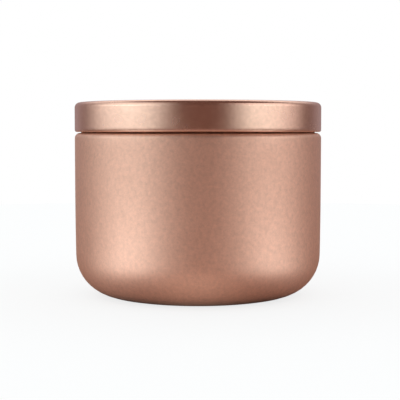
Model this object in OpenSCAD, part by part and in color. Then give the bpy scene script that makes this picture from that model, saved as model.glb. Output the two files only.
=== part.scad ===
// Seamless candle tin: a drawn can with a stepped neck, a slip lid flush with it,
// and a poured wax candle whose tabbed wick is stuck to the base.
// The origin is on the axis, in the plane that the stand ring rests on.

/* [Overall] */
// Largest outer diameter of the can, at its shoulder
can_d = 76.8; // [62:0.2:110]
// Height of the closed tin
total_h = 60; // [45:0.5:100]
// Height of the lid's skirt, from its rolled edge to its top
lid_h = 9.1; // [7:0.1:16]
// Gap left at the root of the groove between the lid's rolled edge and the can's shoulder
groove_w = 0.3; // [0.05:0.05:1.5]

/* [Can] */
// Thickness of the can's sheet
can_t = 0.28; // [0.2:0.01:0.5]
// Outer radius of the bend from the wall to the base
bend_r = 13; // [8:0.5:16]
// Inward lean of the wall towards the base, in degrees
wall_draft = 0.3; // [0:0.05:1]
// Outer radius of the shoulder's edge under the lid
shoulder_r = 1.6; // [0.8:0.1:2]
// Outer radius of the rolled bead on the neck's rim
bead_r = 0.9; // [0.6:0.05:1.3]
// Width of the flat ring that the can stands on
stand_w = 3.4; // [1:0.2:5]
// Rise of the recessed base panel above the stand ring
panel_rise = 1.3; // [1.1:0.1:2.5]

/* [Lid] */
// Thickness of the lid's sheet
lid_t = 0.25; // [0.2:0.01:0.4]
// Outer radius of the bend from the lid's top to its skirt
lid_bend_r = 1.6; // [0.6:0.1:3]
// Outer radius of the rolled edge at the foot of the skirt
curl_r = 1; // [0.7:0.05:1.4]
// How far the lid stands proud of the can, all round
lid_proud = 0; // [0:0.05:0.4]
// Radial clearance between the rolled edge and the neck
slip_gap = 0.1; // [0.05:0.01:0.3]
// Clearance between the neck's rim and the underside of the lid's top
seat_gap = 0.1; // [0.05:0.01:0.3]

/* [Candle] */
// Depth of the wax surface below the rim of the neck
headspace = 13.6; // [12:0.2:20]
// Gap that the cooled wax leaves at the metal and around the wick
wax_gap = 0.05; // [0.02:0.01:0.1]
// Diameter of the waxed cotton wick
wick_d = 2.4; // [1.6:0.1:3.6]
// Length of wick standing out of the wax
wick_out = 7; // [4:0.5:11]
// Diameter of the wick's tab
tab_d = 20; // [12:1:22]
// Thickness of the tab's sheet
tab_t = 0.25; // [0.2:0.01:0.4]
// Height of the tab's crimped collar above its disc
collar_h = 6; // [3:0.5:9]
// Clearance between the wick and the collar
crimp_gap = 0.02; // [0.01:0.01:0.05]
// Diameter of the adhesive disc under the tab
sticker_d = 19; // [10:1:22]
// Thickness of the adhesive disc
sticker_t = 0.8; // [0.4:0.1:1.5]

/* [Hidden] */
$fn = 180;

can_r = can_d / 2;
lid_r = can_r + lid_proud;
neck_r = lid_r - 2 * curl_r - slip_gap;

// heights of the lid's lower edge, the shoulder's ledge, the rim and the wax
edge_z = total_h - lid_h;
ledge_z = edge_z - groove_w;
rim_z = total_h - lid_t - seat_gap;
wax_z = rim_z - headspace;

// the wall touches the circles of the shoulder and of the base bend, in the direction wall_n
wall_n = [cos(wall_draft), -sin(wall_draft)];
shoulder_c = [can_r - shoulder_r, ledge_z - shoulder_r];
bend_lean = (ledge_z - shoulder_r - bend_r) * sin(wall_draft);
bend_c = [can_r - shoulder_r - (bend_r - shoulder_r + bend_lean) / cos(wall_draft), bend_r];

// the recessed panel's step is two equal arcs
step_r = panel_rise / 2;
panel_r = bend_c[0] - stand_w - step_r;

// stack of the candle's foot on the base panel
sticker_z = panel_rise + can_t;
tab_z = sticker_z + sticker_t;
collar_r = wick_d / 2 + crimp_gap + tab_t;
wick_h = wax_z + wick_out - tab_z;

CAN_COLOUR = "#c8957d";
LID_COLOUR = "#cf9c84";
WAX_COLOUR = "#f3ead6";
WICK_COLOUR = "#efe7d3";
TAB_COLOUR = "#b9bbbd";
STICKER_COLOUR = "#fbfbf8";

// Half outline of the can below its neck, moved into the metal by inset
module can_half(inset) {
    difference() {
        union() {
            polygon([
                [0, inset],
                [bend_c[0], inset],
                bend_c + (bend_r - inset) * wall_n,
                shoulder_c + (shoulder_r - inset) * wall_n,
                shoulder_c + [0, shoulder_r - inset],
                [0, ledge_z - inset]
            ]);
            translate(bend_c) circle(bend_r - inset);
            translate(shoulder_c) circle(shoulder_r - inset);
        }
        panel_half(inset);
    }
    translate([panel_r + step_r, step_r]) circle(step_r - inset);
}

// Half outline of the space under the base panel, moved into the metal by inset
module panel_half(inset) {
    square([panel_r + step_r, step_r]);
    square([panel_r - step_r, panel_rise + inset]);
    translate([panel_r - step_r, step_r]) circle(step_r + inset);
}

// Half outline of a cap of radius r and height h, with its top edge rounded by c
module cap_half(r, h, c) {
    square([r, h - c]);
    square([r - c, h]);
    translate([r - c, h - c]) circle(c);
}

// Half outline of the lid above its rolled edge, moved into the metal by inset
module lid_half(inset) {
    foot_z = edge_z + curl_r;
    translate([0, foot_z]) cap_half(lid_r - inset, total_h - foot_z - inset, lid_bend_r - inset);
}

// Section of a rolled edge of outer radius r and sheet t about c, left open from angle a to b
module rolled_edge(c, r, t, a, b) {
    reach = 2 * r;
    middle = (a + b) / 2;
    translate(c) difference() {
        circle(r);
        circle(r - t);
        polygon([
            [0, 0],
            reach * [cos(a), sin(a)],
            reach * [cos(middle), sin(middle)],
            reach * [cos(b), sin(b)]
        ]);
    }
}

// Half outline of the space inside the can, moved away from the metal by gap
module cavity_half(gap) {
    can_half(can_t + gap);
    translate([0, shoulder_c[1]]) square([neck_r - can_t - gap, rim_z - shoulder_c[1]]);
}

module can_body() {
    bead_z = rim_z - bead_r;
    color(CAN_COLOUR) rotate_extrude() {
        difference() {
            union() {
                can_half(0);
                translate([0, ledge_z - can_t]) square([neck_r, bead_z - ledge_z + can_t]);
            }
            cavity_half(0);
        }
        rolled_edge([neck_r - bead_r, bead_z], bead_r, can_t, 290, 360);
    }
}

module lid() {
    color(LID_COLOUR) rotate_extrude() {
        difference() {
            lid_half(0);
            lid_half(lid_t);
        }
        rolled_edge([lid_r - curl_r, edge_z + curl_r], curl_r, lid_t, 0, 70);
    }
}

module wick_sticker() {
    color(STICKER_COLOUR) translate([0, 0, sticker_z]) cylinder(h = sticker_t, d = sticker_d);
}

module wick_tab() {
    color(TAB_COLOUR) translate([0, 0, tab_z]) difference() {
        union() {
            cylinder(h = tab_t, d = tab_d);
            cylinder(h = tab_t + collar_h, r = collar_r);
        }
        translate([0, 0, -tab_t]) cylinder(h = collar_h + 3 * tab_t, r = wick_d / 2 + crimp_gap);
    }
}

module wick() {
    color(WICK_COLOUR) translate([0, 0, tab_z]) cylinder(h = wick_h, d = wick_d);
}

// Space that the wax leaves around the sticker, the tab and the wick
module candle_foot_space() {
    grown = 2 * wax_gap;
    translate([0, 0, sticker_z - wax_gap]) cylinder(h = sticker_t + grown, d = sticker_d + grown);
    translate([0, 0, tab_z - wax_gap]) {
        cylinder(h = tab_t + grown, d = tab_d + grown);
        cylinder(h = tab_t + collar_h + grown, r = collar_r + wax_gap);
        cylinder(h = 2 * wick_h, d = wick_d + grown);
    }
}

module wax_fill() {
    color(WAX_COLOUR) difference() {
        rotate_extrude() intersection() {
            cavity_half(wax_gap);
            square([can_r, wax_z]);
        }
        candle_foot_space();
    }
}

can_body();
lid();
wax_fill();
wick();
wick_tab();
wick_sticker();
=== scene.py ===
"""Looks of a seamless candle tin: a drawn can and slip lid in satin rose gold, and the candle inside.

Lengths are in metres. The can stands on z = 0 with its axis on Z, and is seen from -Y.
"""

import logging
import math
from collections.abc import Iterable
from dataclasses import dataclass
from enum import Enum

import bmesh
import bpy
from mathutils import Matrix, Vector, noise


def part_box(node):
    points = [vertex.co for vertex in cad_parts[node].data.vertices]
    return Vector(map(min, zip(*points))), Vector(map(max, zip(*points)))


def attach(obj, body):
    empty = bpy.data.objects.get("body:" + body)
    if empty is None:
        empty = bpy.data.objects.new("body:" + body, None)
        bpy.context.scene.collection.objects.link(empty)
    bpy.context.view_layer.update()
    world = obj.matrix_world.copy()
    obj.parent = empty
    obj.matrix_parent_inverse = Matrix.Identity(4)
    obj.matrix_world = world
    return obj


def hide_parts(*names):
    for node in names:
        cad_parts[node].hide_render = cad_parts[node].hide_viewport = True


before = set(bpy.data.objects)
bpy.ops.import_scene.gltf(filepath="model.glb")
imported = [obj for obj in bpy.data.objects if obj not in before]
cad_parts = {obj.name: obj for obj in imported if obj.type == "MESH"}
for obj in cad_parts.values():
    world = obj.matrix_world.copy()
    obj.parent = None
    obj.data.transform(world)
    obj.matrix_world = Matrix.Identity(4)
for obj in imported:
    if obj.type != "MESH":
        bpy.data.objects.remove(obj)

LOG = logging.getLogger("candle_tin")
MM = 0.001

# steps round a full turn of a spun piece, and degrees per step of a bend in its section
TURN_STEPS = 192
BEND_STEP = 7.5
# distance of the extra point that keeps a flat run's shading flat beside a bend, and its largest
# share of a short run
GUARD = 0.12 * MM
GUARD_SHARE = 0.25
WELD = 1e-7

# numbers of the Mix node's colour sockets, which share their names with others
FIRST_COLOUR, SECOND_COLOUR, MIXED_COLOUR = 6, 7, 2
# band that nearly all of a noise's values fall in
NOISE_BAND = (0.3, 0.7)


class Body(Enum):
    """Bodies of the frame that the pieces ride on."""

    TIN = "tin"
    LID = "lid"


class Face(Enum):
    """Material slots of a sheet metal piece: the lacquered outside and the bare inside."""

    OUTSIDE = 0
    INSIDE = 1


def linear(hex_colour: str) -> tuple[float, float, float, float]:
    """Turns an sRGB colour into the linear values that shaders take.

    Args:
        hex_colour: Colour as "#rrggbb".

    Returns:
        Red, green, blue and alpha, linear.
    """
    channels = [int(hex_colour[i : i + 2], 16) / 255 for i in (1, 3, 5)]
    red, green, blue = (c / 12.92 if c <= 0.04045 else ((c + 0.055) / 1.055) ** 2.4 for c in channels)
    return red, green, blue, 1.0


def add_node(
    tree: bpy.types.NodeTree, kind: str, inputs: dict[str | int, object] | None = None, **settings: object
) -> bpy.types.Node:
    """Adds a node with its settings and inputs.

    Args:
        tree: Node tree to add to.
        kind: Node type, such as "ShaderNodeBump".
        inputs: Input name or number to its constant, or to the socket that feeds it.
        **settings: Properties of the node itself.

    Returns:
        The new node.
    """
    node = tree.nodes.new(kind)
    for name, value in settings.items():
        setattr(node, name, value)
    for socket, value in (inputs or {}).items():
        if isinstance(value, bpy.types.NodeSocket):
            tree.links.new(value, node.inputs[socket])
        else:
            node.inputs[socket].default_value = value
    return node


def calculate(
    tree: bpy.types.NodeTree, operation: str, *terms: float | bpy.types.NodeSocket
) -> bpy.types.NodeSocket:
    """Adds a Math node.

    Args:
        tree: Node tree to add to.
        operation: What it does, such as "MULTIPLY".
        *terms: Its terms in order, each a number or a socket.

    Returns:
        The socket of the result.
    """
    return add_node(tree, "ShaderNodeMath", dict(enumerate(terms)), operation=operation).outputs[0]


def spread(
    tree: bpy.types.NodeTree,
    value: bpy.types.NodeSocket,
    low: float,
    high: float,
    band: tuple[float, float] = (0.0, 1.0),
    **settings: object,
) -> bpy.types.NodeSocket:
    """Spreads a band of values over a range.

    Args:
        tree: Node tree to add to.
        value: The value.
        low: Result at the band's foot.
        high: Result at the band's top.
        band: Foot and top of the band.
        **settings: Properties of the node, such as its interpolation.

    Returns:
        The socket of the result.
    """
    limits = {"From Min": band[0], "From Max": band[1], "To Min": low, "To Max": high}
    return add_node(tree, "ShaderNodeMapRange", {"Value": value, **limits}, **settings).outputs["Result"]


def mix_colours(
    tree: bpy.types.NodeTree,
    first: tuple[float, ...] | bpy.types.NodeSocket,
    second: tuple[float, ...] | bpy.types.NodeSocket,
    factor: float | bpy.types.NodeSocket,
    blend_type: str = "MIX",
) -> bpy.types.NodeSocket:
    """Mixes two colours.

    Args:
        tree: Node tree to add to.
        first: The colour below, linear, or its socket.
        second: The colour above it, linear, or its socket.
        factor: How much the second colour acts, a number or a socket.
        blend_type: How it acts.

    Returns:
        The socket of the mixed colour.
    """
    inputs = {"Factor": factor, FIRST_COLOUR: first, SECOND_COLOUR: second}
    mix = add_node(tree, "ShaderNodeMix", inputs, data_type="RGBA", blend_type=blend_type)
    return mix.outputs[MIXED_COLOUR]


class Surface:
    """A material in the making: a Principled shader, and patterns in the piece's own coordinates."""

    def __init__(self, name: str, values: dict[str | int, object]) -> None:
        """Makes the material and its shader.

        Args:
            name: Name of the material.
            values: Constants of the shader.
        """
        self.material = bpy.data.materials.new(name)
        self.material.use_nodes = True
        self.tree = self.material.node_tree
        self.tree.nodes.clear()
        self.shader = add_node(self.tree, "ShaderNodeBsdfPrincipled", values)
        add_node(self.tree, "ShaderNodeOutputMaterial", {"Surface": self.shader.outputs["BSDF"]})
        self.place = add_node(self.tree, "ShaderNodeTexCoord").outputs["Object"]

    def grain(
        self, size: float | tuple[float, float, float], detail: float, roughness: float = 0.5
    ) -> bpy.types.NodeSocket:
        """Adds a noise of a real size.

        Args:
            size: Size of its largest grains, or their sizes along X, Y and Z.
            detail: Number of finer layers.
            roughness: Strength of each layer beside the one before.

        Returns:
            The socket of its value.
        """
        place, scale = self.place, 1.0
        if isinstance(size, tuple):
            stretch = {"Vector": place, "Scale": tuple(1 / side for side in size)}
            place = add_node(self.tree, "ShaderNodeMapping", stretch).outputs["Vector"]
        else:
            scale = 1 / size
        inputs = {"Vector": place, "Scale": scale, "Detail": detail, "Roughness": roughness}
        return add_node(self.tree, "ShaderNodeTexNoise", inputs).outputs["Fac"]

    def cells(self, size: float) -> bpy.types.Node:
        """Adds a pattern of irregular cells of a real size."""
        return add_node(self.tree, "ShaderNodeTexVoronoi", {"Vector": self.place, "Scale": 1 / size})

    def relief(
        self,
        height: bpy.types.NodeSocket,
        depth: float,
        strength: float = 1.0,
        under: bpy.types.NodeSocket | None = None,
    ) -> bpy.types.NodeSocket:
        """Raises a pattern in the surface.

        Args:
            height: The pattern.
            depth: Its depth in metres.
            strength: How strongly it shows.
            under: Relief that it lies on.

        Returns:
            The socket of the normal.
        """
        inputs = {"Height": height, "Strength": strength, "Distance": depth}
        if under:
            inputs["Normal"] = under
        return add_node(self.tree, "ShaderNodeBump", inputs).outputs["Normal"]

    def finished(self, **patterns: bpy.types.NodeSocket) -> bpy.types.Material:
        """Feeds patterns to the shader's inputs, each named with _ for a space, and gives the material."""
        for name, pattern in patterns.items():
            self.tree.links.new(pattern, self.shader.inputs[name.replace("_", " ")])
        return self.material


@dataclass(frozen=True)
class SatinLacquer:
    """Tinted lacquer baked on satin tinplate.

    The metal under the tint gives the gleam, and the fine frosting of the sheet spreads it
    into wide soft bands with a faint sparkle.
    """

    name: str
    roughness: float
    frosting_depth: float
    ring_depth: float
    # how far the frosting lightens and darkens the tint
    speckle: float = 0.1
    colour: str = "#f1cdb8"
    # size of the frosting's grains, drawn several times as coarse as they are so that they show
    frosting: float = 1.2 * MM
    # size of the soft patches, and how much their gloss differs
    patch: float = 5.6 * MM
    patch_gloss: float = 0.02
    # spacing of the faint rings that the drawing die leaves round the piece, and their length
    ring_spacing: float = 0.5 * MM
    ring_length: float = 25.0 * MM

    def material(self) -> bpy.types.Material:
        """Makes the node material."""
        surface = Surface(self.name, {"Metallic": 1.0})
        tree = surface.tree
        frosting = surface.grain(self.frosting, detail=3.0, roughness=0.8)
        patches = surface.grain(self.patch, detail=3.0)
        rings = surface.grain((self.ring_length, self.ring_length, self.ring_spacing), detail=2.0)
        ring_relief = surface.relief(rings, self.ring_depth)
        speckle = spread(tree, frosting, 1 - self.speckle, 1 + self.speckle, NOISE_BAND, clamp=False)
        smooth, rough = self.roughness - self.patch_gloss, self.roughness + self.patch_gloss
        return surface.finished(
            Base_Color=mix_colours(tree, linear(self.colour), speckle, 1.0, "MULTIPLY"),
            Roughness=spread(tree, patches, smooth, rough, NOISE_BAND, clamp=False),
            Normal=surface.relief(frosting, self.frosting_depth, under=ring_relief),
        )


@dataclass(frozen=True)
class BareTinplate:
    """Bare electro-tinned steel: a cool grey gleam with fine rolling lines and cloudy crystals of tin."""

    name: str
    roughness: float = 0.3
    colour: str = "#c9cacb"
    crystal: float = 3.0 * MM
    crystal_contrast: float = 0.05
    line_spacing: float = 0.35 * MM
    line_length: float = 35.0 / 3 * MM
    line_depth: float = 0.001 * MM
    line_gloss: float = 0.06

    def material(self) -> bpy.types.Material:
        """Makes the node material."""
        surface = Surface(self.name, {"Metallic": 1.0})
        tree = surface.tree
        tin = linear(self.colour)
        crystals = surface.cells(self.crystal).outputs["Color"]
        lines = surface.grain((self.line_length, self.line_spacing, self.line_length), detail=3.0)
        smooth, rough = self.roughness - self.line_gloss, self.roughness + self.line_gloss
        return surface.finished(
            Base_Color=mix_colours(tree, tin, crystals, self.crystal_contrast, "SOFT_LIGHT"),
            Roughness=spread(tree, lines, smooth, rough),
            Normal=surface.relief(lines, self.line_depth),
        )


@dataclass(frozen=True)
class PouredWax:
    """Cooled soy wax: light goes a few millimetres in, so edges glow, and frosting clouds its surface."""

    name: str
    colour: str = "#f6efe0"
    frosted: str = "#fbf7ed"
    # roughness where the surface is clear and where it is frosted
    clear_roughness: float = 0.36
    frosted_roughness: float = 0.56
    cloud: float = 7.0 * MM
    # band of the clouds' values over which clear wax turns frosted
    cloud_band: tuple[float, float] = (0.36, 0.7)
    pore: float = 0.6 * MM
    pore_depth: float = 0.03 * MM

    def material(self) -> bpy.types.Material:
        """Makes the node material."""
        surface = Surface(
            self.name,
            {
                "IOR": 1.44,
                "Subsurface Weight": 0.6,
                "Subsurface Radius": (1.0, 0.75, 0.5),
                "Subsurface Scale": 2.5 * MM,
                "Coat Weight": 0.1,
                "Coat Roughness": 0.35,
            },
        )
        tree = surface.tree
        clouds = surface.grain(self.cloud, detail=5.0)
        pores = surface.grain(self.pore, detail=3.0)
        frost = spread(tree, clouds, 0.0, 1.0, self.cloud_band, interpolation_type="SMOOTHSTEP")
        return surface.finished(
            Base_Color=mix_colours(tree, linear(self.colour), linear(self.frosted), frost),
            Roughness=spread(tree, frost, self.clear_roughness, self.frosted_roughness),
            Normal=surface.relief(pores, self.pore_depth, strength=0.6),
        )


@dataclass(frozen=True)
class WaxedCotton:
    """Cotton yarn dipped in wax: matt fibres under a thin skin that fills the gaps and shines a little."""

    name: str
    colour: str = "#efe5cd"
    # darker tone painted as shade in the gaps between fibres, where the same noise lowers the relief
    shadow: str = "#cdbd9c"
    fibre: float = 0.09 * MM
    fibre_length: float = 0.36 * MM
    fibre_depth: float = 0.03 * MM

    def material(self) -> bpy.types.Material:
        """Makes the node material."""
        surface = Surface(
            self.name,
            {
                "Roughness": 0.62,
                "IOR": 1.5,
                "Subsurface Weight": 0.25,
                "Subsurface Radius": (1.0, 0.8, 0.55),
                "Subsurface Scale": 0.6 * MM,
                "Sheen Weight": 0.25,
                "Sheen Roughness": 0.5,
            },
        )
        fibres = surface.grain((self.fibre, self.fibre, self.fibre_length), detail=3.0)
        return surface.finished(
            Base_Color=mix_colours(surface.tree, linear(self.shadow), linear(self.colour), fibres),
            Normal=surface.relief(fibres, self.fibre_depth, strength=0.7),
        )


@dataclass(frozen=True)
class FoamTape:
    """White closed-cell foam tape: matt, with fine open pores where it was cut."""

    name: str
    colour: str = "#f5f4ef"
    cell: float = 0.25 * MM
    cell_depth: float = 0.02 * MM
    cell_contrast: float = 0.08

    def material(self) -> bpy.types.Material:
        """Makes the node material."""
        surface = Surface(self.name, {"Roughness": 0.85, "IOR": 1.45})
        cells = surface.cells(self.cell)
        tones = cells.outputs["Color"]
        return surface.finished(
            Base_Color=mix_colours(surface.tree, linear(self.colour), tones, self.cell_contrast, "MULTIPLY"),
            Normal=surface.relief(cells.outputs["Distance"], self.cell_depth, strength=0.5),
        )


class Section:
    """Half of a round piece's section, drawn in the XZ plane by a pen that moves and turns."""

    def __init__(self, radius: float, height: float) -> None:
        """Puts the pen down at a radius and a height."""
        self.mesh = bmesh.new()
        self.tip = bmesh.ops.create_vert(self.mesh, co=(radius, 0, height))["vert"][0]

    def step(self, radius: float, height: float) -> None:
        """Draws one straight edge to a radius and a height."""
        self.tip = bmesh.ops.extrude_vert_indiv(self.mesh, verts=[self.tip])["verts"][0]
        self.tip.co = (radius, 0, height)

    def line(self, radius: float, height: float) -> None:
        """Draws a straight run, with a guard point near each end that keeps its shading flat.

        Args:
            radius: Radius of the run's end.
            height: Height of the run's end.
        """
        start, end = self.tip.co.copy(), Vector((radius, 0, height))
        guard = min(GUARD / (end - start).length, GUARD_SHARE)
        for share in (guard, 1 - guard, 1):
            point = start.lerp(end, share)
            self.step(point.x, point.z)

    def arc(self, centre_radius: float, centre_height: float, turn: float) -> None:
        """Turns the pen about a centre.

        Args:
            centre_radius: Radius of the centre.
            centre_height: Height of the centre.
            turn: Angle in degrees, positive from +X towards +Z.
        """
        turned = bmesh.ops.spin(
            self.mesh,
            geom=[self.tip],
            cent=(centre_radius, 0, centre_height),
            axis=(0, -1, 0),
            angle=math.radians(turn),
            steps=max(2, round(abs(turn) / BEND_STEP)),
        )
        self.tip = next(g for g in turned["geom_last"] if isinstance(g, bmesh.types.BMVert))

    def along(self, points: Iterable[tuple[float, float]]) -> None:
        """Draws edges through a run of (radius, height) points."""
        for radius, height in points:
            self.step(radius, height)

    def revolve(self) -> bmesh.types.BMesh:
        """Spins the section a full turn about Z and welds its ends and poles.

        Returns:
            The surface, with its faces pointing away from the axis at its widest.
        """
        mesh = self.mesh
        bmesh.ops.remove_doubles(mesh, verts=mesh.verts[:], dist=WELD)
        bmesh.ops.spin(
            mesh,
            geom=mesh.verts[:] + mesh.edges[:],
            axis=(0, 0, 1),
            angle=math.tau,
            steps=TURN_STEPS,
            use_merge=True,
        )
        bmesh.ops.remove_doubles(mesh, verts=mesh.verts[:], dist=WELD)
        bmesh.ops.recalc_face_normals(mesh, faces=mesh.faces[:])
        widest = max(mesh.faces, key=lambda face: face.calc_center_median().xy.length)
        if widest.normal.xy.dot(widest.calc_center_median().xy) < 0:
            bmesh.ops.reverse_faces(mesh, faces=mesh.faces[:])
        return mesh


def thicken(mesh: bmesh.types.BMesh, sheet: float) -> None:
    """Gives a surface the sheet's thickness on its inner side, and marks the inside as bare.

    Args:
        mesh: Open surface whose faces point outwards.
        sheet: Thickness of the sheet.
    """
    outside = set(mesh.faces)
    bmesh.ops.solidify(mesh, geom=mesh.faces[:], thickness=sheet)
    for face in mesh.faces:
        face.material_index = Face.OUTSIDE.value if face in outside else Face.INSIDE.value


def finished_piece(
    mesh: bmesh.types.BMesh, name: str, node: str, body: Body
) -> bpy.types.Object:
    """Turns a mesh into a smooth piece that stands for a CAD node.

    Args:
        mesh: Finished mesh, in the frame's coordinates.
        name: Name of the piece.
        node: CAD node that the piece replaces.
        body: Body that the piece rides on.

    Returns:
        The piece.
    """
    for face in mesh.faces:
        face.smooth = True
    data = bpy.data.meshes.new(name)
    mesh.to_mesh(data)
    mesh.free()
    piece = bpy.data.objects.new(name, data)
    bpy.context.scene.collection.objects.link(piece)
    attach(piece, body.value)
    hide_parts(node)
    LOG.info("%s: %d faces, rides on %s", name, len(data.polygons), body.value)
    return piece


def wear(piece: bpy.types.Object, *finishes: bpy.types.Material) -> None:
    """Puts finishes in a piece's material slots, in order."""
    for finish in finishes:
        piece.data.materials.append(finish)


@dataclass
class Can:
    """Drawn can: base panel, stand ring, wide bend, wall, shoulder, neck and rolled rim bead."""

    sheet: float = 0.28 * MM
    bend: float = 13.0 * MM
    # how far the wall has leaned in where the bend begins, and how late it starts to
    lean: float = 0.195 * MM
    lean_power: float = 3.5
    shoulder: float = 1.6 * MM
    groove: float = 0.3 * MM
    neck_step: float = 2.1 * MM
    neck_root: float = 0.45 * MM
    bead: float = 0.9 * MM
    bead_turn: float = 290.0
    stand_width: float = 3.4 * MM
    panel_rise: float = 1.3 * MM
    wall_steps: int = 14

    def build(self) -> bpy.types.Object:
        """Spins the can's outer surface and gives it the sheet's thickness.

        Returns:
            The can, riding on the tin.
        """
        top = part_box("can_body")[1]
        radius, rim = top.x, top.z
        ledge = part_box("lid")[0].z - self.groove
        neck = radius - self.neck_step
        half_step = self.panel_rise / 2
        wall_top = ledge - self.shoulder
        slope = math.atan(self.lean_power * self.lean / (wall_top - self.bend))
        bend_radius = radius - self.lean - self.bend * math.cos(slope)
        wall_foot = self.bend * (1 - math.sin(slope))
        panel = bend_radius - self.stand_width - half_step

        section = Section(0, self.panel_rise)
        section.line(panel - half_step, self.panel_rise)
        section.arc(panel - half_step, half_step, -90)
        section.arc(panel + half_step, half_step, 90)
        section.line(bend_radius, 0)
        section.arc(bend_radius, self.bend, 90 - math.degrees(slope))
        shares = [i / self.wall_steps for i in range(1, self.wall_steps + 1)]
        section.along(
            (radius - self.lean * (1 - share) ** self.lean_power, wall_foot + share * (wall_top - wall_foot))
            for share in shares
        )
        section.arc(radius - self.shoulder, wall_top, 90)
        section.line(neck + self.neck_root, ledge)
        section.arc(neck + self.neck_root, ledge + self.neck_root, -90)
        section.line(neck, rim - self.bead)
        section.arc(neck - self.bead, rim - self.bead, self.bead_turn)
        mesh = section.revolve()
        thicken(mesh, self.sheet)
        return finished_piece(mesh, "can_shell", "can_body", Body.TIN)

    def dress(self, piece: bpy.types.Object) -> None:
        """Lacquers the outside and leaves the inside bare."""
        lacquer = SatinLacquer(
            "rose_gold_lacquer_can", roughness=0.50, frosting_depth=0.004 * MM, ring_depth=0.0008 * MM
        )
        wear(piece, lacquer.material(), BareTinplate("bare_tinplate_can").material())


@dataclass
class Lid:
    """Drawn slip lid with a rolled lower edge."""

    sheet: float = 0.25 * MM
    bend: float = 1.6 * MM
    # the skirt's foot leans in a little, turns under on a small arc and ends in a roll
    lean_arc: float = 8.0 * MM
    lean: float = 5.0
    edge: float = 0.25 * MM
    edge_turn: float = 50.0
    curl: float = 1.0 * MM
    curl_turn: float = 290.0

    def build(self) -> bpy.types.Object:
        """Spins the lid's outer surface and gives it the sheet's thickness.

        Returns:
            The lid, riding on the lid's own body.
        """
        low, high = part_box("lid")
        radius = high.x
        section = Section(0, high.z)
        section.line(radius - self.bend, high.z)
        section.arc(radius - self.bend, high.z - self.bend, -90)
        lean, under = math.radians(self.lean), math.radians(self.edge_turn)
        curl_height = low.z + self.curl
        edge_height = curl_height + (self.edge - self.curl) * math.sin(under)
        lean_height = edge_height + (self.lean_arc - self.edge) * math.sin(lean)
        lean_radius = radius - self.lean_arc
        edge_radius = lean_radius + (self.lean_arc - self.edge) * math.cos(lean)
        curl_radius = edge_radius + (self.edge - self.curl) * math.cos(under)
        section.line(radius, lean_height)
        section.arc(lean_radius, lean_height, -self.lean)
        section.arc(edge_radius, edge_height, self.lean - self.edge_turn)
        section.arc(curl_radius, curl_height, self.edge_turn - self.curl_turn)
        mesh = section.revolve()
        thicken(mesh, self.sheet)
        return finished_piece(mesh, "lid_shell", "lid", Body.LID)

    def dress(self, piece: bpy.types.Object) -> None:
        """Lacquers the outside and leaves the inside bare."""
        lacquer = SatinLacquer(
            "rose_gold_lacquer_lid",
            roughness=0.26,
            frosting_depth=0.0002 * MM,
            ring_depth=0.0003 * MM,
            speckle=0.07,
        )
        wear(piece, lacquer.material(), BareTinplate("bare_tinplate_lid").material())


@dataclass
class WickFoot:
    """Stamped tab with a crimped collar, and the foam disc that sticks it to the base."""

    tab_sheet: float = 0.25 * MM
    collar_flare: float = 0.5 * MM
    # clearance between the wick and the collar
    crimp_gap: float = 0.02 * MM
    tape_edge: float = 0.15 * MM

    def build_tab(self) -> bpy.types.Object:
        """Spins the tab's section: a disc that turns up into a collar."""
        low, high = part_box("wick_tab")
        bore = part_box("wick")[1].x + self.crimp_gap
        collar = bore + self.tab_sheet
        flare = self.collar_flare
        section = Section(bore, low.z)
        section.line(high.x, low.z)
        section.line(high.x, low.z + self.tab_sheet)
        section.line(collar + flare, low.z + self.tab_sheet)
        section.arc(collar + flare, low.z + self.tab_sheet + flare, -90)
        section.line(collar, high.z)
        section.line(bore, high.z)
        section.line(bore, low.z)
        mesh = section.revolve()
        return finished_piece(mesh, "wick_tab_stamped", "wick_tab", Body.TIN)

    def build_tape(self) -> bpy.types.Object:
        """Spins the foam disc's section, with its cut edges rounded."""
        low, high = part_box("wick_sticker")
        edge = self.tape_edge
        section = Section(0, low.z)
        section.line(high.x - edge, low.z)
        section.arc(high.x - edge, low.z + edge, 90)
        section.line(high.x, high.z - edge)
        section.arc(high.x - edge, high.z - edge, 90)
        section.line(0, high.z)
        mesh = section.revolve()
        return finished_piece(mesh, "wick_sticker_foam", "wick_sticker", Body.TIN)

    def dress(self, tab: bpy.types.Object, tape: bpy.types.Object) -> None:
        """Gives the tab and the foam disc their finishes."""
        wear(tab, BareTinplate("tinplate_tab", roughness=0.34).material())
        wear(tape, FoamTape("foam_tape").material())


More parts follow.
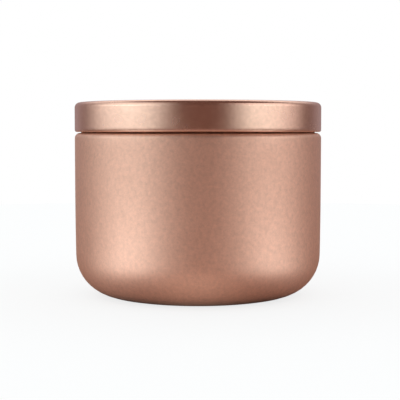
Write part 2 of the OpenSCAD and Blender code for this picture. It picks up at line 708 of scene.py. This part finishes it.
@dataclass
class Wax:
    """Poured wax: it follows the can's inside, climbs a little at the wall and the wick, and dips between."""

    gap: float = 0.05 * MM
    wall_climb: float = 0.7 * MM
    wick_climb: float = 0.9 * MM
    climb_reach: float = 0.9 * MM
    sink: float = 0.35 * MM
    sink_reach: float = 9.0 * MM
    wave: float = 0.12 * MM
    wave_length: float = 16.0 * MM
    surface_steps: int = 70
    # above 1, the surface's points crowd towards the wall
    crowding: float = 1.6

    def height(self, radius: float, bore: float, wall: float) -> float:
        """Height of the surface at a radius, above its level part.

        Args:
            radius: Radius of the point.
            bore: Radius where the wax meets the wick.
            wall: Radius where the wax meets the can.

        Returns:
            Height in metres, below zero in the dip.
        """
        at_wall = self.wall_climb * math.exp((radius - wall) / self.climb_reach)
        at_wick = self.wick_climb * math.exp((bore - radius) / self.climb_reach)
        return at_wall + at_wick - self.sink * math.exp(-((radius / self.sink_reach) ** 2))

    def build(self, can: Can, foot: WickFoot) -> bpy.types.Object:
        """Spins the wax body and gives its top soft waves.

        Args:
            can: The can that the wax was poured into.
            foot: The wick's foot that it was poured round.

        Returns:
            The wax, riding on the tin.
        """
        low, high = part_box("wax_fill")
        level, wall = high.z, high.x
        inset = can.sheet + self.gap
        bend = can.bend - inset
        bend_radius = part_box("can_body")[1].x - can.lean - can.bend
        half_step = can.panel_rise / 2
        panel = bend_radius - can.stand_width - half_step
        panel_top = can.panel_rise + inset
        tab_low, tab_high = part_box("wick_tab")
        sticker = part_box("wick_sticker")[1].x + self.gap
        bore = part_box("wick")[1].x + self.gap
        collar = bore + foot.crimp_gap + foot.tab_sheet
        tab_top = tab_low.z + foot.tab_sheet + self.gap

        start = level + self.height(bore, bore, wall)
        section = Section(bore, start)
        steps = self.surface_steps
        shares = [1 - (1 - i / steps) ** self.crowding for i in range(1, steps + 1)]
        radii = [bore + share * (wall - bore) for share in shares]
        section.along((radius, level + self.height(radius, bore, wall)) for radius in radii)
        section.line(bend_radius + bend, can.bend)
        section.arc(bend_radius, can.bend, -90)
        section.line(panel + half_step, low.z)
        section.arc(panel + half_step, half_step, -90)
        section.arc(panel - half_step, half_step, 90)
        section.line(sticker, panel_top)
        section.line(sticker, tab_low.z)
        section.line(tab_high.x + self.gap, tab_low.z)
        section.line(tab_high.x + self.gap, tab_top)
        section.line(collar, tab_top)
        section.line(collar, tab_high.z + self.gap)
        section.line(bore, tab_high.z + self.gap)
        section.line(bore, start)
        mesh = section.revolve()
        # the waves die out where the surface climbs
        calm = 3 * self.climb_reach
        for vert in mesh.verts:
            radius = vert.co.xy.length
            if vert.co.z > level - 2 * self.sink and bore < radius < wall:
                free = min(1.0, (wall - radius) / calm, (radius - bore) / calm)
                vert.co.z += free * self.wave * noise.noise(vert.co / self.wave_length)
        return finished_piece(mesh, "wax_pour", "wax_fill", Body.TIN)

    def dress(self, piece: bpy.types.Object) -> None:
        """Gives the wax its finish."""
        wear(piece, PouredWax("soy_wax").material())


def strand_tube(points: list[Vector], radius: float, sides: int) -> bpy.types.Mesh:
    """Makes a round strand along a run of points.

    Args:
        points: Points of the strand's centreline.
        radius: Radius of the strand.
        sides: Sides of its section, a multiple of 4.

    Returns:
        A closed mesh.
    """
    curve = bpy.data.curves.new("strand", "CURVE")
    curve.dimensions = "3D"
    curve.bevel_depth = radius
    curve.bevel_resolution = sides // 4 - 1
    curve.use_fill_caps = True
    spline = curve.splines.new("POLY")
    spline.points.add(len(points) - 1)
    for point, place in zip(spline.points, points):
        point.co = (*place, 1)
    holder = bpy.data.objects.new("strand", curve)
    mesh = bpy.data.meshes.new_from_object(holder)
    bpy.data.objects.remove(holder)
    bpy.data.curves.remove(curve)
    return mesh


@dataclass
class Wick:
    """Round braid of waxed cotton yarn over a core."""

    strands_each_way: int = 6
    lead: float = 7.0 * MM
    weave: float = 0.2 * MM
    strand: float = 0.24 * MM
    points_per_crossing: int = 8
    strand_sides: int = 8

    def strand_path(self, index: int, way: int, middle: float, low: float, high: float) -> list[Vector]:
        """Points of one strand, which passes over and under those that run the other way.

        Args:
            index: Number of the strand among those that run its way.
            way: 1 for a right-hand turn, -1 for a left-hand one.
            middle: Radius of the braid's middle.
            low: Height of the strand's foot.
            high: Height of its tip.

        Returns:
            The points, from foot to tip.
        """
        crossings = 2 * self.strands_each_way * (high - low) / self.lead
        count = round(crossings * self.points_per_crossing)
        points = []
        for i in range(count + 1):
            height = low + (high - low) * i / count
            turn = math.tau * (height - low) / self.lead
            radius = middle + way * self.weave * math.cos(self.strands_each_way * turn)
            bearing = way * turn + math.tau * index / self.strands_each_way
            points.append(Vector((radius * math.cos(bearing), radius * math.sin(bearing), height)))
        return points

    def build(self) -> bpy.types.Object:
        """Braids the strands round their core.

        Returns:
            The wick, riding on the tin.
        """
        low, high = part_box("wick")
        middle = high.x - self.weave - self.strand
        braid = bmesh.new()
        tubes = [
            strand_tube(self.strand_path(index, way, middle, low.z, high.z), self.strand, self.strand_sides)
            for way in (1, -1)
            for index in range(self.strands_each_way)
        ]
        core = [Vector((0, 0, low.z)), Vector((0, 0, high.z - self.weave))]
        tubes.append(strand_tube(core, middle, 2 * self.strand_sides))
        for tube in tubes:
            braid.from_mesh(tube)
            bpy.data.meshes.remove(tube)
        return finished_piece(braid, "wick_braid", "wick", Body.TIN)

    def dress(self, piece: bpy.types.Object) -> None:
        """Gives the wick its finish."""
        wear(piece, WaxedCotton("waxed_cotton_wick").material())


def soft_edge(
    tree: bpy.types.NodeTree, angle: bpy.types.NodeSocket, half: float, edge: float
) -> bpy.types.NodeSocket:
    """One inside a half angle and zero outside it, with a soft edge.

    Args:
        tree: Node tree of the world.
        angle: Angle from the middle, in radians, either sign.
        half: Half angle in degrees.
        edge: Half the width of the soft edge in degrees.

    Returns:
        The socket of the result.
    """
    size = calculate(tree, "ABSOLUTE", angle)
    band = (math.radians(half - edge), math.radians(half + edge))
    return spread(tree, size, 1.0, 0.0, band, interpolation_type="SMOOTHSTEP")


def add_glow(
    tree: bpy.types.NodeTree,
    shader: bpy.types.NodeSocket,
    colour: str,
    strength: float | bpy.types.NodeSocket,
) -> bpy.types.NodeSocket:
    """Adds light to a shader.

    Args:
        tree: Node tree to add to.
        shader: Socket of the shader.
        colour: The light's sRGB colour.
        strength: Its strength, a number or a socket.

    Returns:
        The socket of the sum.
    """
    glow = add_node(tree, "ShaderNodeEmission", {"Color": linear(colour), "Strength": strength})
    return add_node(tree, "ShaderNodeAddShader", {0: shader, 1: glow.outputs[0]}).outputs[0]


def split_view(
    tree: bpy.types.NodeTree, output: str, reflected: bpy.types.NodeSocket, seen: bpy.types.NodeSocket
) -> None:
    """Ends a tree with one shader for the eye and another for everything else.

    Args:
        tree: Node tree to end.
        output: Type of its output node.
        reflected: Shader that reflections and lit surfaces meet.
        seen: Shader that the eye meets.
    """
    ray = add_node(tree, "ShaderNodeLightPath")
    inputs = {"Fac": ray.outputs["Is Camera Ray"], 1: reflected, 2: seen}
    mixed = add_node(tree, "ShaderNodeMixShader", inputs)
    add_node(tree, output, {"Surface": mixed.outputs[0]})


@dataclass(frozen=True)
class LightPanel:
    """A soft panel of light in the room, seen from the tin.

    Bearings are in degrees from the camera's side, positive to its right; lifts are above the horizon.
    """

    bearing: float
    half_width: float
    side_edge: float
    lift: float
    half_height: float
    top_edge: float
    strength: float
    colour: str = "#ffffff"

    def brightness(
        self, tree: bpy.types.NodeTree, direction: bpy.types.NodeSocket, lift: bpy.types.NodeSocket
    ) -> bpy.types.NodeSocket:
        """How bright the panel is in a direction.

        Args:
            tree: Node tree of the world.
            direction: Socket of the direction.
            lift: Socket of its lift, in radians.

        Returns:
            The socket of the brightness.
        """
        # turn the direction so that the panel's middle is at bearing zero
        turn = math.radians(self.bearing)
        along, across = (
            add_node(tree, "ShaderNodeVectorMath", {0: direction, 1: axis}, operation="DOT_PRODUCT")
            for axis in ((math.sin(turn), -math.cos(turn), 0), (math.cos(turn), math.sin(turn), 0))
        )
        bearing = calculate(tree, "ARCTAN2", across.outputs["Value"], along.outputs["Value"])
        above = calculate(tree, "SUBTRACT", lift, math.radians(self.lift))
        wide = soft_edge(tree, bearing, self.half_width, self.side_edge)
        tall = soft_edge(tree, above, self.half_height, self.top_edge)
        return calculate(tree, "MULTIPLY", calculate(tree, "MULTIPLY", wide, tall), self.strength)


@dataclass(frozen=True)
class LightPool:
    """A soft pool of light painted on the floor beside the tin as glow, where no lamp throws one."""

    bearing: float
    distance: float
    radius: float
    strength: float
    colour: str = "#ffffff"

    def brightness(self, tree: bpy.types.NodeTree, place: bpy.types.NodeSocket) -> bpy.types.NodeSocket:
        """How bright the pool is at a place on the floor.

        Args:
            tree: Node tree of the floor.
            place: Socket of the place.

        Returns:
            The socket of the brightness.
        """
        turn = math.radians(self.bearing)
        centre = (self.distance * math.sin(turn), -self.distance * math.cos(turn), 0)
        away = add_node(tree, "ShaderNodeVectorMath", {0: place, 1: centre}, operation="DISTANCE")
        share = calculate(tree, "DIVIDE", away.outputs["Value"], self.radius)
        fall = calculate(tree, "POWER", math.exp(-1), calculate(tree, "POWER", share, 2.0))
        return calculate(tree, "MULTIPLY", fall, self.strength)


@dataclass
class Studio:
    """Plain pale floor, soft panels of light, and the camera."""

    distance_in_radii: float = 9.0
    # degrees that the camera looks down, and that it is turned to its right
    pitch: float = 3.538
    yaw: float = 0.105
    lens: float = 99.0
    floor_radius: float = 450.0 * MM
    # the floor as the eye sees it
    seen_tone: str = "#6e7475"
    seen_glow: float = 0.8
    # the floor as the metal reflects it: its tones in front and behind, and where they meet; the darker tone
    # behind and beside the tin is painted shade
    front_tone: str = "#a3857a"
    back_tone: str = "#8b6d61"
    fade: tuple[float, float] = (-60.0 * MM, 10.0 * MM)
    # radii between which the shadow painted on the reflected paper under the tin clears, and how much light
    # that painted shadow leaves
    contact: tuple[float, float] = (26.0 * MM, 35.0 * MM)
    contact_light: float = 0.12
    room_tone: str = "#63453e"
    # ring of fill light that only matt surfaces take, so that the wax and the floor are well lit
    fill_lift: float = 42.0
    fill_half_height: float = 18.0
    fill_edge: float = 8.0
    fill_strength: float = 1.5
    panels: tuple[LightPanel, ...] = (
        LightPanel(-59.7, 27.2, 21.6, 7.1, 3.0, 6.4, 1.75, "#e8fdff"),
        LightPanel(57.3, 20.9, 17.6, 3.4, 3.0, 2.3, 1.05, "#ddfffd"),
        LightPanel(-73.1, 36.5, 23.2, 24.5, 26.5, 3.1, 1.07, "#fafdff"),
        LightPanel(70.9, 31.1, 21.1, 19.1, 20.2, 4.1, 1.18, "#fff9fa"),
        LightPanel(180.0, 50.0, 22.0, 30.0, 50.0, 12.0, 0.25, "#f7f2ff"),
        LightPanel(180.0, 60.0, 25.0, 50.0, 20.0, 14.0, 0.80, "#ffffff"),
    )
    # pools of light painted as glow on the floor where the metal reflects it
    pools: tuple[LightPool, ...] = (
        LightPool(-51.1, 95.0 * MM, 31.0 * MM, 2.5, "#f4fbff"),
        LightPool(55.5, 92.0 * MM, 27.0 * MM, 2.2, "#f4fbff"),
        LightPool(0.0, 46.0 * MM, 16.0 * MM, 0.24, "#fff0e8"),
    )

    def build_camera(self) -> None:
        """Puts the camera level with the groove, looking slightly down."""
        lid_low, lid_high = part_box("lid")
        back = self.distance_in_radii * lid_high.x
        data = bpy.data.cameras.new("camera")
        data.lens = self.lens
        data.clip_start = 10 * MM
        camera = bpy.data.objects.new("camera", data)
        bpy.context.scene.collection.objects.link(camera)
        camera.matrix_world = (
            Matrix.Translation((0, -back, lid_low.z))
            @ Matrix.Rotation(math.radians(-self.yaw), 4, "Z")
            @ Matrix.Rotation(math.radians(90 - self.pitch), 4, "X")
        )
        bpy.context.scene.camera = camera

    def build_floor(self) -> None:
        """Lays a wide pale floor under the tin."""
        mesh = bmesh.new()
        bmesh.ops.create_circle(mesh, cap_ends=True, segments=96, radius=self.floor_radius)
        data = bpy.data.meshes.new("floor")
        mesh.to_mesh(data)
        mesh.free()
        floor = bpy.data.objects.new("floor", data)
        bpy.context.scene.collection.objects.link(floor)
        data.materials.append(self.floor_paper())

    def floor_paper(self) -> bpy.types.Material:
        """Makes the floor's paper, which is lighter to the eye than where the metal reflects it. Where the
        metal reflects it, the paper carries painted shade behind and beside the tin, a painted shadow under
        its foot, and painted pools of light.

        Returns:
            The paper's material.
        """
        material = bpy.data.materials.new("floor_paper")
        material.use_nodes = True
        tree = material.node_tree
        tree.nodes.clear()
        place = add_node(tree, "ShaderNodeTexCoord").outputs["Object"]
        seen = add_node(tree, "ShaderNodeBsdfDiffuse", {"Color": linear(self.seen_tone)}).outputs[0]
        seen = add_glow(tree, seen, "#ffffff", self.seen_glow)
        depth = add_node(tree, "ShaderNodeSeparateXYZ", {0: place}).outputs["Y"]
        from_axis = add_node(tree, "ShaderNodeVectorMath", {0: place}, operation="LENGTH").outputs["Value"]
        # painted shade: the reflected paper fades from the front tone to the darker back tone behind and
        # beside the tin
        fade = spread(tree, depth, 0.0, 1.0, self.fade, interpolation_type="SMOOTHSTEP")
        # painted shadow: the reflected paper is darkened round the tin's foot, from the first contact radius
        # out to the second
        painted_contact_shade = spread(
            tree, from_axis, self.contact_light, 1.0, self.contact, interpolation_type="SMOOTHSTEP"
        )
        paper = mix_colours(tree, linear(self.front_tone), linear(self.back_tone), fade)
        shaded = mix_colours(tree, paper, painted_contact_shade, 1.0, "MULTIPLY")
        reflected = add_node(tree, "ShaderNodeBsdfDiffuse", {"Color": shaded}).outputs[0]
        # painted pools of light: glow added to the reflected paper
        for pool in self.pools:
            reflected = add_glow(tree, reflected, pool.colour, pool.brightness(tree, place))
        split_view(tree, "ShaderNodeOutputMaterial", reflected, seen)
        return material

    def build_light(self) -> None:
        """Fills the world with the room's tone and its soft panels; the camera sees plain white."""
        world = bpy.data.worlds.new("studio")
        bpy.context.scene.world = world
        world.use_nodes = True
        tree = world.node_tree
        tree.nodes.clear()
        direction = add_node(tree, "ShaderNodeTexCoord").outputs["Generated"]
        axes = add_node(tree, "ShaderNodeSeparateXYZ", {0: direction})
        lift = calculate(tree, "ARCSINE", axes.outputs["Z"])
        room = add_node(tree, "ShaderNodeEmission", {"Color": linear(self.room_tone)}).outputs[0]
        for panel in self.panels:
            room = add_glow(tree, room, panel.colour, panel.brightness(tree, direction, lift))
        above = calculate(tree, "SUBTRACT", lift, math.radians(self.fill_lift))
        ring = soft_edge(tree, above, self.fill_half_height, self.fill_edge)
        ray = add_node(tree, "ShaderNodeLightPath")
        on_matt = calculate(tree, "MULTIPLY", ring, ray.outputs["Is Diffuse Ray"])
        room = add_glow(tree, room, "#ffffff", calculate(tree, "MULTIPLY", on_matt, self.fill_strength))
        white = add_node(tree, "ShaderNodeEmission", {"Color": linear("#ffffff")}).outputs[0]
        split_view(tree, "ShaderNodeOutputWorld", room, white)
        bpy.context.scene.view_settings.view_transform = "Standard"


def main() -> None:
    """Builds the tin and its studio."""
    logging.basicConfig(level=logging.INFO, format="%(name)s: %(message)s")
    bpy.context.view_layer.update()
    studio = Studio()
    studio.build_camera()
    studio.build_floor()
    studio.build_light()
    can, lid, wax, wick, foot = Can(), Lid(), Wax(), Wick(), WickFoot()
    can.dress(can.build())
    lid.dress(lid.build())
    wax.dress(wax.build(can, foot))
    wick.dress(wick.build())
    foot.dress(foot.build_tab(), foot.build_tape())


if __name__ == "__main__":
    main()
